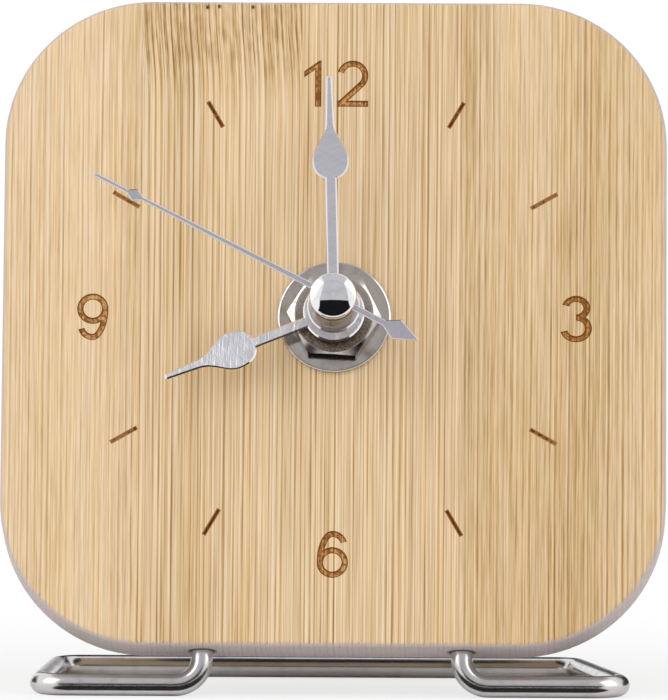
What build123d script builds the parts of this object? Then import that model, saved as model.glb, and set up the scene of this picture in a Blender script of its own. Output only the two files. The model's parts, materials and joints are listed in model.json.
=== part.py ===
from build123d import *
import os
from collections import namedtuple
from math import cos, pi, radians, sin

# A bamboo desk clock: a rounded square board leaning on a bent wire stand, with a
# battery quartz movement behind it and three metal hands in front.
#
# Everything is drawn in the board's own frame, in millimetres. X runs to the right, Y runs
# up the board and Z comes out of its front face, which is at Z = 0. The hands turn about Z.
# At the end the whole clock is leaned back and stood on the table, with its front to -Y.

# Board
BOARD_WIDTH = 100.0
BOARD_HEIGHT = 99.6
BOARD_THICKNESS = 9.0
BOARD_CORNER = 22.2
BOARD_EDGE_ROUND = 0.8
HUB_RISE = 0.6
LEAN = 16.4

# Engraved dial
ENGRAVE_DEPTH = 0.25
ENGRAVE_RIM = 0.16
ENGRAVE_RIM_DEPTH = 0.12
DIAL_RADIUS = 36.4
TICK_LENGTH = 4.6
TICK_WIDTH = 0.65
DIGIT_HEIGHT = 7.2
DIGIT_WIDTH = 4.7
DIGIT_STROKE = 0.95
DIGIT_GAP = 2.4
ONE_WIDTH = 2.6
FLAG_DROP = 1.7
FLAG_TOP = 0.3
OPEN_END_ANGLE = 165.0
TWO_NECK_ANGLE = -46.4
SIX_HOOK_START = 15.0
SIX_HOOK_SHARE = 0.93

# Wire stand
WIRE_DIAMETER = 3.3
WIRE_BEND = 4.0
LEG_SPACING = 39.0
LEG_DROP = 5.2
LEG_SOCKET = 12.0
STAND_FRONT_WIDTH = 88.0
STAND_REAR_WIDTH = 78.8
STAND_REAR_SHIFT = -2.7
STAND_DEPTH = 33.5

# Clearances
SEAT_PLAY = 0.02
RUN_PLAY = 0.05
CLEARANCE = 0.2
END_FLOAT = 0.4

# Hub hardware in front of the board
BUSHING_DIAMETER = 8.0
BUSHING_TAIL_DIAMETER = 7.0
BUSHING_FLANGE_DIAMETER = 12.0
BUSHING_STAND_OUT = 0.5
WASHER_DIAMETER = 17.0
WASHER_THICKNESS = 0.6
NUT_ACROSS_FLATS = 12.4
NUT_THICKNESS = 2.2
NUT_CHAMFER = 0.5
NUT_TURN = -3.0
GASKET_DIAMETER = 30.0
GASKET_THICKNESS = 0.8

# Pipes and arbors on the hand axis
SECOND_ARBOR_DIAMETER = 1.0
MINUTE_PIPE_DIAMETER = 3.2
HOUR_PIPE_DIAMETER = 5.0

# Hands, with the angles clockwise from twelve that the clock shows at rest
HAND_SHEET = 0.4
HAND_BEVEL = 0.24
HOUR_HAND_ANGLE = 248.0
HOUR_HAND_GAP = 0.7
HOUR_HAND_LENGTH = 27.3
HOUR_HAND_DISC = 9.3
HOUR_BAR_WIDTH = 1.65
HOUR_BULB_START = 12.8
HOUR_BULB_CENTER = 16.2
HOUR_BULB_WIDTH = 5.8
HOUR_NECK = 22.2
MINUTE_HAND_ANGLE = 358.4
MINUTE_HAND_GAP = 2.8
MINUTE_HAND_LENGTH = 35.75
MINUTE_HAND_DISC = 8.0
MINUTE_BAR_WIDTH = 1.75
MINUTE_BULB_START = 19.8
MINUTE_BULB_CENTER = 22.65
MINUTE_BULB_WIDTH = 5.5
MINUTE_NECK = 28.65
NECK_WIDTH = 1.3
HAND_TIP_WIDTH = 0.9
MINUTE_NUT_DIAMETER = 7.0
MINUTE_NUT_HEIGHT = 5.6
MINUTE_PIPE_GAP = 1.0
SECOND_HAND_ANGLE = 297.5
SECOND_HAND_GAP = 0.6
SECOND_HAND_SHEET = 0.3
SECOND_HAND_BEVEL = 0.14
SECOND_HAND_LENGTH = 40.5
SECOND_TIP_WIDTH = 0.6
SECOND_ROOT_WIDTH = 0.95
SECOND_DISC = 4.0
SECOND_BEAD_CENTER = 33.6
SECOND_BEAD_LENGTH = 2.4
SECOND_BEAD_WIDTH = 2.0
SECOND_TAIL_NECK = 8.7
SECOND_TAIL_SHOULDER = 10.7
SECOND_TAIL_WIDTH = 3.26
SECOND_TAIL_LENGTH = 14.3
SECOND_TUBE_DIAMETER = 2.2
SECOND_TUBE_LENGTH = 2.0
CAP_DIAMETER = 7.1
CAP_HEIGHT = 1.6
CAP_ROUND = 0.55
CAP_CROWN_RADIUS = 8.0
CAP_WALL = 1.1

# Curve of a spade hand's bulb, as shares of its half width and of its two lengths
BULB_FLARE = 0.7
BULB_LIFT = 0.1
BULB_FULLNESS = 0.6
FLANK_HOLD = 0.38
FLANK_DRAW = 0.55

# Gear train: teeth and modules
SECOND_PINION_TEETH = 8
THIRD_WHEEL_TEETH = 60
THIRD_PINION_TEETH = 8
CENTER_WHEEL_TEETH = 64
CANNON_TEETH = 15
MOTION_WHEEL_TEETH = 45
MOTION_PINION_TEETH = 12
HOUR_WHEEL_TEETH = 48
SETTING_PINION_TEETH = 15
SECOND_WHEEL_TEETH = 48
FIFTH_PINION_TEETH = 8
FIFTH_WHEEL_TEETH = 40
ROTOR_PINION_TEETH = 8
TRAIN_MODULE = 0.3
MOTION_MODULE = 0.3
DRIVE_MODULE = 0.3
ROTOR_MODULE = 0.25

# Tooth form, in modules across the tooth and up from the pitch circle
ADDENDUM = 0.7
DEDENDUM = 1.0
TOOTH_ROOT_WIDTH = 1.35
TOOTH_TIP_WIDTH = 0.7

# Where the axes of the train stand around each other, in degrees from +X
THIRD_DIRECTION = 60.0
MOTION_DIRECTION = 150.0
SETTING_DIRECTION = 180.0
FIFTH_DIRECTION = -30.0
ROTOR_DIRECTION = 20.0

# Movement layers and small parts
WHEEL_THICKNESS = 0.8
PINION_OVERHANG = 0.1
ARBOR_DIAMETER = 0.8
PIVOT_DEPTH = 0.7
BOSS_WALL = 0.7
MIDDLE_PLATE_THICKNESS = 1.0
CLUTCH_THICKNESS = 0.4
CLUTCH_DIAMETER = 6.0
PIPE_LIP = 0.3
MAGNET_DIAMETER = 4.4
MAGNET_THICKNESS = 1.4
STATOR_THICKNESS = 0.8
STATOR_POLE_DIAMETER = 9.6
STATOR_AIR_GAP = 0.4
STATOR_ARM_REACH = 6.8
STATOR_ARM_WIDTH = 3.0
COIL_ABOVE_ROTOR = 18.5
CORE_THICKNESS = 0.8
CORE_WIDTH = 2.4
BOBBIN_DIAMETER = 5.4
BOBBIN_FLANGE = 0.8
BOBBIN_BARREL = 3.4
WINDING_DIAMETER = 5.0
CIRCUIT_THICKNESS = 0.8
PEG_DIAMETER = 1.4
PEG_SHOULDER = 2.4
CHIP_DIAMETER = 6.0
CHIP_HEIGHT = 1.2
CRYSTAL_DIAMETER = 2.0
CRYSTAL_LENGTH = 6.0
STRIP_THICKNESS = 0.3
STRIP_BEND = 0.5
STRIP_WIDTH = 2.4

# Movement case, cell and setting knob
CASE_WALL = 1.2
CASE_CORNER = 3.0
COVER_THICKNESS = 1.4
COVER_LIP = 1.5
CHAMBER_GAP = 0.9
POST_DIAMETER = 3.0
POST_INSET = 2.8
CELL_DIAMETER = 14.5
CELL_LENGTH = 50.5
CELL_SLEEVE = 0.15
CELL_NUB_DIAMETER = 5.5
CELL_NUB_HEIGHT = 1.2
CONTACT_ROOM = 1.55
SETTING_STEM_DIAMETER = 2.0
KNOB_DIAMETER = 12.0
KNOB_HEIGHT = 3.7
KNOB_FLUTES = 24
KNOB_FLUTE_DIAMETER = 0.9

# A layer is a slice of the clock between two heights along Z
Layer = namedtuple("Layer", "back front")


def behind(front, thickness):
    """The layer of a given thickness whose front face is at a height."""
    return Layer(front - thickness, front)


def before(back, thickness):
    """The layer of a given thickness whose back face is at a height."""
    return Layer(back, back + thickness)


def polar(distance, direction, start=(0.0, 0.0)):
    """The point at a distance from a start, in a direction in degrees from +X."""
    turn = radians(direction)
    return (start[0] + distance * cos(turn), start[1] + distance * sin(turn))


def slab(sketch, layer):
    """A flat piece: a sketch that fills one layer."""
    return Pos(0, 0, layer.back) * extrude(sketch, layer.front - layer.back)


def disc(diameter, layer, at=(0.0, 0.0)):
    return slab(Pos(*at) * Circle(diameter / 2), layer)


def ring(outer, inner, layer, at=(0.0, 0.0)):
    return slab(Pos(*at) * (Circle(outer / 2) - Circle(inner / 2)), layer)


def rectangle(left, right, bottom, top):
    """A rectangle from the places of its four sides."""
    return Pos((left + right) / 2, (bottom + top) / 2) * Rectangle(right - left, top - bottom)


def stroke(line, inset):
    """A band of the digits' stroke width along a line or arc, its two sides drawn in by an inset."""
    return trace(line, DIGIT_STROKE - 2 * inset)


# Gear geometry

def pitch_radius(teeth, module):
    return teeth * module / 2


def tip_radius(teeth, module):
    return pitch_radius(teeth, module) + ADDENDUM * module


def gear_sketch(teeth, module, phase):
    """A toothed wheel outline with the middle of one tooth in the direction phase, in degrees."""
    root = pitch_radius(teeth, module) - DEDENDUM * module
    tip = tip_radius(teeth, module)
    root_half = TOOTH_ROOT_WIDTH * module / 2
    tip_half = TOOTH_TIP_WIDTH * module / 2
    corners = []
    for tooth in range(teeth):
        middle = radians(phase) + 2 * pi * tooth / teeth
        for radius, across in ((root, -root_half), (tip, -tip_half), (tip, tip_half), (root, root_half)):
            turn = middle + across / radius
            corners.append((radius * cos(turn), radius * sin(turn)))
    return Polygon(*corners, align=None)


def gear(teeth, module, layer, at, phase):
    return slab(Pos(*at) * gear_sketch(teeth, module, phase), layer)


def meshing_phase(phase, teeth, direction, other_teeth):
    """The phase at which another wheel's gaps meet the teeth of a wheel with this phase."""
    lead = (phase - direction) * teeth / other_teeth
    return direction + 180 - lead + 180 / other_teeth


# Places of the axes, from the gear sizes

hub = (0.0, 0.0)
third_distance = pitch_radius(SECOND_PINION_TEETH + THIRD_WHEEL_TEETH, TRAIN_MODULE)
center_module = 2 * third_distance / (THIRD_PINION_TEETH + CENTER_WHEEL_TEETH)
motion_distance = pitch_radius(CANNON_TEETH + MOTION_WHEEL_TEETH, MOTION_MODULE)
hour_module = 2 * motion_distance / (MOTION_PINION_TEETH + HOUR_WHEEL_TEETH)
setting_distance = pitch_radius(MOTION_WHEEL_TEETH + SETTING_PINION_TEETH, MOTION_MODULE)
fifth_distance = pitch_radius(FIFTH_PINION_TEETH + SECOND_WHEEL_TEETH, DRIVE_MODULE)
rotor_distance = pitch_radius(ROTOR_PINION_TEETH + FIFTH_WHEEL_TEETH, ROTOR_MODULE)
third_axis = polar(third_distance, THIRD_DIRECTION)
motion_axis = polar(motion_distance, MOTION_DIRECTION)
setting_axis = polar(setting_distance, SETTING_DIRECTION, motion_axis)
fifth_axis = polar(fifth_distance, FIFTH_DIRECTION)
rotor_axis = polar(rotor_distance, ROTOR_DIRECTION, fifth_axis)

# Heights in front of the board

washer_layer = before(0, WASHER_THICKNESS)
nut_layer = before(washer_layer.front, NUT_THICKNESS)
bushing_end = nut_layer.front + BUSHING_STAND_OUT
hour_hand_layer = before(bushing_end + HOUR_HAND_GAP, HAND_SHEET)
minute_hand_layer = before(hour_hand_layer.front + MINUTE_HAND_GAP, HAND_SHEET)
minute_nut_layer = before(minute_hand_layer.front, MINUTE_NUT_HEIGHT)
second_hand_layer = before(minute_nut_layer.front + SECOND_HAND_GAP, SECOND_HAND_SHEET)
cap_layer = before(second_hand_layer.front, CAP_HEIGHT)
cap_hollow_layer = Layer(cap_layer.back, cap_layer.front - CAP_WALL)
second_arbor_end = cap_hollow_layer.front - END_FLOAT
minute_pipe_end = minute_nut_layer.front - SECOND_TUBE_LENGTH - MINUTE_PIPE_GAP

# Heights behind the board, from the case's front wall to its cover

board_back = -BOARD_THICKNESS
gasket_layer = behind(board_back, GASKET_THICKNESS)
case_front = gasket_layer.back
chamber_front = case_front - CASE_WALL
hour_wheel_layer = behind(chamber_front - END_FLOAT, WHEEL_THICKNESS)
motion_wheel_layer = behind(hour_wheel_layer.back - END_FLOAT, WHEEL_THICKNESS)
clutch_layer = behind(motion_wheel_layer.back, CLUTCH_THICKNESS)
center_wheel_layer = behind(clutch_layer.back, WHEEL_THICKNESS)
third_wheel_layer = behind(center_wheel_layer.back - PIPE_LIP - END_FLOAT, WHEEL_THICKNESS)
middle_plate_layer = behind(third_wheel_layer.back - END_FLOAT, MIDDLE_PLATE_THICKNESS)
second_wheel_layer = behind(middle_plate_layer.back - END_FLOAT, WHEEL_THICKNESS)
fifth_wheel_layer = behind(second_wheel_layer.back - END_FLOAT, WHEEL_THICKNESS)
core_front = min(
    fifth_wheel_layer.back - END_FLOAT + CORE_THICKNESS,
    middle_plate_layer.back - CLEARANCE - BOBBIN_DIAMETER / 2 + CORE_THICKNESS / 2,
)
core_layer = behind(core_front, CORE_THICKNESS)
stator_layer = behind(core_layer.back, STATOR_THICKNESS)
stator_middle = (stator_layer.back + stator_layer.front) / 2
core_middle = (core_layer.back + core_layer.front) / 2
magnet_layer = Layer(stator_middle - MAGNET_THICKNESS / 2, stator_middle + MAGNET_THICKNESS / 2)
cell_axis_height = chamber_front - CLEARANCE - CELL_DIAMETER / 2
cell_back = cell_axis_height - CELL_DIAMETER / 2
cover_layer = before(cell_back, COVER_THICKNESS)
case_back = cover_layer.back
boss_front = magnet_layer.back - END_FLOAT
strip_layer = behind(middle_plate_layer.back - END_FLOAT, STRIP_WIDTH)
circuit_layer = behind(strip_layer.back + CIRCUIT_THICKNESS / 2, CIRCUIT_THICKNESS)
knob_layer = behind(case_back - END_FLOAT, KNOB_HEIGHT)

# Sides of the case's two rooms, from what they hold

stator_right = rotor_axis[0] + STATOR_ARM_REACH + STATOR_ARM_WIDTH / 2
stator_left = rotor_axis[0] - STATOR_ARM_REACH - STATOR_ARM_WIDTH / 2
coil_height = rotor_axis[1] + COIL_ABOVE_ROTOR
center_tip = tip_radius(CENTER_WHEEL_TEETH, center_module)
fifth_tip = tip_radius(FIFTH_WHEEL_TEETH, ROTOR_MODULE)
third_tip = tip_radius(THIRD_WHEEL_TEETH, TRAIN_MODULE)
chamber_right = max(CELL_LENGTH / 2 + CONTACT_ROOM, stator_right + 2 * POST_INSET)
chamber_left = -chamber_right
chamber_bottom = min(-center_tip, fifth_axis[1] - fifth_tip) - CHAMBER_GAP
post_reach = 2 * POST_INSET
chamber_top = max(third_axis[1] + third_tip, coil_height + BOBBIN_DIAMETER / 2) + post_reach
bay_top = chamber_bottom - CASE_WALL
bay_bottom = bay_top - CELL_DIAMETER - 2 * CLEARANCE
cell_height = (bay_top + bay_bottom) / 2
case_top = chamber_top + CASE_WALL
case_bottom = bay_bottom - CASE_WALL
case_right = chamber_right + CASE_WALL
case_left = -case_right
cell_base = chamber_left + CONTACT_ROOM
cell_tip = cell_base + CELL_LENGTH
post_corners = [
    (side * (chamber_right - POST_INSET), height)
    for side in (-1, 1)
    for height in (chamber_bottom + POST_INSET, chamber_top - POST_INSET)
]

# Circuit board outline, between the setting stem, the coil and the corner posts

circuit_left = chamber_left + post_reach
circuit_right = stator_left - CHAMBER_GAP
stem_top = setting_axis[1] + SETTING_STEM_DIAMETER
circuit_bottom = max(stem_top, SECOND_PINION_TEETH * TRAIN_MODULE) + CHAMBER_GAP
circuit_top = chamber_top - post_reach / 2
circuit_middle = (circuit_bottom + circuit_top) / 2
circuit_pegs = [
    (circuit_left + PEG_SHOULDER, circuit_bottom + PEG_SHOULDER),
    (circuit_right - PEG_SHOULDER, circuit_top - PEG_SHOULDER),
]
core_pegs = [(rotor_axis[0] + side * STATOR_ARM_REACH, coil_height) for side in (-1, 1)]

# Ends of the coil, between the stator's arms

coil_left = core_pegs[0][0] + STATOR_ARM_WIDTH / 2 + CLEARANCE
coil_right = core_pegs[1][0] - STATOR_ARM_WIDTH / 2 - CLEARANCE

# Small shared sizes

second_sleeve_diameter = 2 * (pitch_radius(SECOND_PINION_TEETH, TRAIN_MODULE) - DEDENDUM * TRAIN_MODULE)
wall_strip = STRIP_THICKNESS / 2 + SEAT_PLAY
cell_can_diameter = CELL_DIAMETER - 2 * CELL_SLEEVE

# How far each wheel is turned so that its teeth meet the gaps of the next

cannon_phase = MOTION_DIRECTION
motion_phase = meshing_phase(cannon_phase, CANNON_TEETH, MOTION_DIRECTION, MOTION_WHEEL_TEETH)
setting_phase = meshing_phase(motion_phase, MOTION_WHEEL_TEETH, SETTING_DIRECTION, SETTING_PINION_TEETH)
hour_phase = MOTION_DIRECTION
motion_pinion_phase = meshing_phase(hour_phase, HOUR_WHEEL_TEETH, MOTION_DIRECTION, MOTION_PINION_TEETH)
center_phase = THIRD_DIRECTION
third_pinion_phase = meshing_phase(center_phase, CENTER_WHEEL_TEETH, THIRD_DIRECTION, THIRD_PINION_TEETH)
second_pinion_phase = THIRD_DIRECTION
third_phase = meshing_phase(second_pinion_phase, SECOND_PINION_TEETH, THIRD_DIRECTION, THIRD_WHEEL_TEETH)
second_phase = FIFTH_DIRECTION
fifth_pinion_phase = meshing_phase(second_phase, SECOND_WHEEL_TEETH, FIFTH_DIRECTION, FIFTH_PINION_TEETH)
fifth_phase = ROTOR_DIRECTION
rotor_phase = meshing_phase(fifth_phase, FIFTH_WHEEL_TEETH, ROTOR_DIRECTION, ROTOR_PINION_TEETH)

# The board's place around the hub, and the middle lines of its digits' strokes

plate_middle = -HUB_RISE
plate_bottom = plate_middle - BOARD_HEIGHT / 2
digit_reach = (DIGIT_WIDTH - DIGIT_STROKE) / 2
digit_rise = (DIGIT_HEIGHT - DIGIT_STROKE) / 2


# The board and its engraving

def digit_one(inset):
    """A stem with a slanting flag, its right side at X = 0."""
    top = DIGIT_HEIGHT / 2
    flag_end = top - FLAG_DROP
    flag_rise = FLAG_DROP * (ONE_WIDTH - DIGIT_STROKE) / (ONE_WIDTH - FLAG_TOP)
    outline = Polygon(
        (0, -top),
        (0, top),
        (-FLAG_TOP, top),
        (-ONE_WIDTH, flag_end),
        (-ONE_WIDTH, flag_end - DIGIT_STROKE),
        (-DIGIT_STROKE, flag_end - DIGIT_STROKE + flag_rise),
        (-DIGIT_STROKE, -top),
        align=None,
    )
    return offset(outline, -inset, kind=Kind.INTERSECTION) if inset else outline


def digit_two(inset):
    bowl_height = digit_rise - digit_reach
    arc = CenterArc((0, bowl_height), digit_reach, OPEN_END_ANGLE, TWO_NECK_ANGLE - OPEN_END_ANGLE)
    slope = Line(arc @ 1, (-digit_reach, -digit_rise))
    base = Pos(0, -digit_rise) * Rectangle(DIGIT_WIDTH - 2 * inset, DIGIT_STROKE - 2 * inset)
    return stroke(arc, inset) + stroke(slope, inset) + base


def digit_three(inset):
    """Two open bowls, the upper one a little smaller, drawn round and then set to the digits' width."""
    upper = (digit_rise - DIGIT_STROKE / 4) / 2
    lower = digit_rise - upper
    sweep_angle = OPEN_END_ANGLE + 90
    upper_arc = CenterArc((0, digit_rise - upper), upper, OPEN_END_ANGLE, -sweep_angle)
    lower_arc = CenterArc((0, lower - digit_rise), lower, 90, -sweep_angle)
    narrow = stroke(upper_arc, inset) + stroke(lower_arc, inset)
    return scale(narrow, by=(digit_reach / lower, 1, 1))


def digit_six(inset):
    """A round bowl with a long curved back that ends in a short hook."""
    half = DIGIT_STROKE / 2 - inset
    bowl_height = digit_reach - digit_rise
    bowl = Pos(0, bowl_height) * (Circle(digit_reach + half) - Circle(digit_reach - half))
    back = EllipticalCenterArc((0, bowl_height), digit_reach, digit_rise - bowl_height, 90, arc_size=90)
    hook_radius = SIX_HOOK_SHARE * digit_reach
    hook = CenterArc((0, digit_rise - hook_radius), hook_radius, SIX_HOOK_START, 90 - SIX_HOOK_START)
    return bowl + stroke(back, inset) + stroke(hook, inset)


def dial_marks(inset):
    """Twelve, three, six and nine as digits and a tick at each other hour, drawn in by an inset."""
    twelve_right = (ONE_WIDTH + DIGIT_GAP + DIGIT_WIDTH) / 2
    marks = Pos(ONE_WIDTH - twelve_right, DIAL_RADIUS) * digit_one(inset)
    marks += Pos(twelve_right - DIGIT_WIDTH / 2, DIAL_RADIUS) * digit_two(inset)
    marks += Pos(DIAL_RADIUS, 0) * digit_three(inset)
    marks += Pos(0, -DIAL_RADIUS) * digit_six(inset)
    marks += Pos(-DIAL_RADIUS, 0) * Rot(0, 0, 180) * digit_six(inset)
    tick = Rectangle(TICK_WIDTH - 2 * inset, TICK_LENGTH - 2 * inset)
    for hour in range(12):
        if hour % 3:
            marks += Rot(0, 0, -30 * hour) * Pos(0, DIAL_RADIUS) * tick
    return marks


def make_dial_board():
    """The board, with its bore, the legs' sockets and marks that are cut to a rim, then deeper inside it."""
    outline = Pos(0, plate_middle) * RectangleRounded(BOARD_WIDTH, BOARD_HEIGHT, BOARD_CORNER)
    board = slab(outline, behind(0, BOARD_THICKNESS))
    rims = board.edges().group_by(Axis.Z)
    board = fillet(rims[0] + rims[-1], BOARD_EDGE_ROUND)
    board -= disc(BUSHING_DIAMETER + 2 * CLEARANCE, behind(0, BOARD_THICKNESS))
    for side in (-1, 1):
        socket = Cylinder(WIRE_DIAMETER / 2 + RUN_PLAY, 2 * (LEG_SOCKET + CLEARANCE))
        board -= Pos(side * LEG_SPACING / 2, plate_bottom, board_back / 2) * Rot(90, 0, 0) * socket
    board -= slab(dial_marks(0), behind(0, ENGRAVE_RIM_DEPTH))
    return board - slab(dial_marks(ENGRAVE_RIM), behind(0, ENGRAVE_DEPTH))


# The stand: one wire, from one leg round the foot loop to the other

def make_wire_stand():
    """The bent wire, whose foot loop isn't quite square: its rear bar sits a little to one side."""
    foot = plate_bottom - LEG_DROP
    middle = board_back / 2
    rear_rise = foot + STAND_DEPTH * sin(radians(LEAN))
    rear_back = middle - STAND_DEPTH * cos(radians(LEAN))
    right = [
        (LEG_SPACING / 2, plate_bottom + LEG_SOCKET, middle),
        (LEG_SPACING / 2, foot, middle),
        (STAND_FRONT_WIDTH / 2, foot, middle),
    ]
    left = [(-x, y, z) for x, y, z in reversed(right)]
    rear = [
        (STAND_REAR_SHIFT + STAND_REAR_WIDTH / 2, rear_rise, rear_back),
        (STAND_REAR_SHIFT - STAND_REAR_WIDTH / 2, rear_rise, rear_back),
    ]
    path = FilletPolyline(*right, *rear, *left, radius=WIRE_BEND)
    start = Plane(origin=path @ 0, z_dir=path % 0)
    return sweep(start * Circle(WIRE_DIAMETER / 2), path=path)


# Hub hardware

def make_rubber_gasket():
    return ring(GASKET_DIAMETER, BUSHING_FLANGE_DIAMETER + 2 * CLEARANCE, gasket_layer)


def make_threaded_bushing():
    """The brass tube of the movement, with a flange that rests on the case."""
    bore = HOUR_PIPE_DIAMETER + 2 * RUN_PLAY
    barrel = ring(BUSHING_DIAMETER, bore, Layer(gasket_layer.back, bushing_end))
    flange = ring(BUSHING_FLANGE_DIAMETER, bore, gasket_layer)
    tail = ring(BUSHING_TAIL_DIAMETER, bore, behind(case_front, CASE_WALL))
    return barrel + flange + tail


def make_front_washer():
    return ring(WASHER_DIAMETER, BUSHING_DIAMETER + 2 * CLEARANCE, washer_layer)


def make_hex_nut():
    corner_radius = NUT_ACROSS_FLATS / 2 / cos(pi / 6)
    hexagon = RegularPolygon(NUT_ACROSS_FLATS / 2, 6, major_radius=False, rotation=NUT_TURN)
    blank = disc(2 * corner_radius, nut_layer)
    front_rim = blank.edges().group_by(Axis.Z)[-1]
    blank = chamfer(front_rim, NUT_CHAMFER, corner_radius - NUT_ACROSS_FLATS / 2 + NUT_CHAMFER / 2)
    return (slab(hexagon, nut_layer) & blank) - disc(BUSHING_DIAMETER + 2 * SEAT_PLAY, nut_layer)


# Hands

def spade_outline(bar, bulb_start, bulb_center, bulb_width, neck, length):
    """One hand pointing to twelve: a bar, a pear-shaped bulb and a narrow tip."""
    bulb_half = bulb_width / 2
    neck_half = NECK_WIDTH / 2
    tip_half = HAND_TIP_WIDTH / 2
    tip_start = length - tip_half
    base_rise = bulb_center - bulb_start
    flank = neck - bulb_center
    side = [
        Line((bar / 2, 0), (bar / 2, bulb_start)),
        Bezier(
            (bar / 2, bulb_start),
            (bulb_half * BULB_FLARE, bulb_start + base_rise * BULB_LIFT),
            (bulb_half, bulb_center - base_rise * BULB_FULLNESS),
            (bulb_half, bulb_center),
        ),
        Bezier(
            (bulb_half, bulb_center),
            (bulb_half, bulb_center + flank * FLANK_HOLD),
            (neck_half, bulb_center + flank * FLANK_DRAW),
            (neck_half, neck),
        ),
        Line((neck_half, neck), (tip_half, tip_start)),
    ]
    tip = ThreePointArc((tip_half, tip_start), (0, length), (-tip_half, tip_start))
    mirrored = [edge.mirror(Plane.YZ) for edge in side]
    foot = Line((-bar / 2, 0), (bar / 2, 0))
    return make_face(side + [tip] + mirrored + [foot])


def cut_hand(outline, bore, layer, bevel, clockwise):
    """A flat hand with a bevel cut round its front, turned from twelve and pierced for its pipe."""
    hand = slab(outline, layer)
    front_rim = hand.faces().sort_by(Axis.Z)[-1].outer_wire().edges()
    hand = chamfer(front_rim, bevel)
    return Rot(0, 0, -clockwise) * hand - disc(bore + 2 * SEAT_PLAY, layer)


def make_hour_hand():
    blade = spade_outline(
        HOUR_BAR_WIDTH,
        HOUR_BULB_START,
        HOUR_BULB_CENTER,
        HOUR_BULB_WIDTH,
        HOUR_NECK,
        HOUR_HAND_LENGTH,
    )
    outline = blade + Circle(HOUR_HAND_DISC / 2)
    return cut_hand(outline, HOUR_PIPE_DIAMETER, hour_hand_layer, HAND_BEVEL, HOUR_HAND_ANGLE)


def make_minute_hand():
    blade = spade_outline(
        MINUTE_BAR_WIDTH,
        MINUTE_BULB_START,
        MINUTE_BULB_CENTER,
        MINUTE_BULB_WIDTH,
        MINUTE_NECK,
        MINUTE_HAND_LENGTH,
    )
    outline = blade + Circle(MINUTE_HAND_DISC / 2)
    return cut_hand(outline, MINUTE_PIPE_DIAMETER, minute_hand_layer, HAND_BEVEL, MINUTE_HAND_ANGLE)


def make_minute_hand_nut():
    """The round nut on the minute pipe, hollow so that the second hand's tube turns inside it."""
    nut = disc(MINUTE_NUT_DIAMETER, minute_nut_layer)
    nut -= disc(MINUTE_PIPE_DIAMETER + 2 * SEAT_PLAY, Layer(minute_nut_layer.back, minute_pipe_end))
    return nut - disc(SECOND_TUBE_DIAMETER + 2 * CLEARANCE, Layer(minute_pipe_end, minute_nut_layer.front))


def make_second_hand():
    half_widths = [
        (SECOND_TIP_WIDTH / 2, SECOND_HAND_LENGTH),
        (SECOND_TIP_WIDTH / 2, SECOND_BEAD_CENTER + SECOND_BEAD_LENGTH / 2),
        (SECOND_BEAD_WIDTH / 2, SECOND_BEAD_CENTER),
        (SECOND_TIP_WIDTH / 2, SECOND_BEAD_CENTER - SECOND_BEAD_LENGTH / 2),
        (SECOND_ROOT_WIDTH / 2, 0),
        (SECOND_ROOT_WIDTH / 2, -SECOND_TAIL_NECK),
        (SECOND_TAIL_WIDTH / 2, -SECOND_TAIL_SHOULDER),
        (SECOND_TIP_WIDTH / 4, -SECOND_TAIL_LENGTH),
    ]
    right = list(reversed(half_widths))
    left = [(-half, along) for half, along in half_widths]
    outline = Polygon(*right, *left, align=None) + Circle(SECOND_DISC / 2)
    return cut_hand(outline, SECOND_ARBOR_DIAMETER, second_hand_layer, SECOND_HAND_BEVEL, SECOND_HAND_ANGLE)


def make_second_hand_tube():
    length = SECOND_TUBE_LENGTH + SECOND_HAND_GAP
    bore = SECOND_ARBOR_DIAMETER + 2 * SEAT_PLAY
    return ring(SECOND_TUBE_DIAMETER, bore, behind(second_hand_layer.back, length))


def make_center_cap():
    """The chrome cap, a domed cup glued over the second hand's disc."""
    crown = Pos(0, 0, cap_layer.front - CAP_CROWN_RADIUS) * Sphere(CAP_CROWN_RADIUS)
    cap = disc(CAP_DIAMETER, cap_layer) & crown
    rims = cap.edges().filter_by(lambda edge: edge.is_closed)
    cap = fillet(rims.group_by(Axis.Z)[-1], CAP_ROUND)
    return cap - disc(SECOND_ARBOR_DIAMETER + 2 * SEAT_PLAY, cap_hollow_layer)


# Motion work and going train

def widened(layer):
    """A pinion's layer: a little past both faces of the wheel that it drives."""
    return Layer(layer.back - PINION_OVERHANG, layer.front + PINION_OVERHANG)


def make_hour_wheel():
    """The hour wheel with the pipe that carries the hour hand."""
    wheel = gear(HOUR_WHEEL_TEETH, hour_module, hour_wheel_layer, hub, hour_phase)
    pipe = disc(HOUR_PIPE_DIAMETER, Layer(hour_wheel_layer.back, hour_hand_layer.front))
    bore = disc(MINUTE_PIPE_DIAMETER + 2 * RUN_PLAY, Layer(hour_wheel_layer.back, hour_hand_layer.front))
    return wheel + pipe - bore


def make_motion_wheel():
    wheel = gear(MOTION_WHEEL_TEETH, MOTION_MODULE, motion_wheel_layer, motion_axis, motion_phase)
    pinion_layer = Layer(motion_wheel_layer.front, hour_wheel_layer.front + PINION_OVERHANG)
    pinion = gear(MOTION_PINION_TEETH, hour_module, pinion_layer, motion_axis, motion_pinion_phase)
    whole = Layer(motion_wheel_layer.back, pinion_layer.front)
    return wheel + pinion - disc(ARBOR_DIAMETER + 2 * RUN_PLAY, whole, motion_axis)


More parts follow.
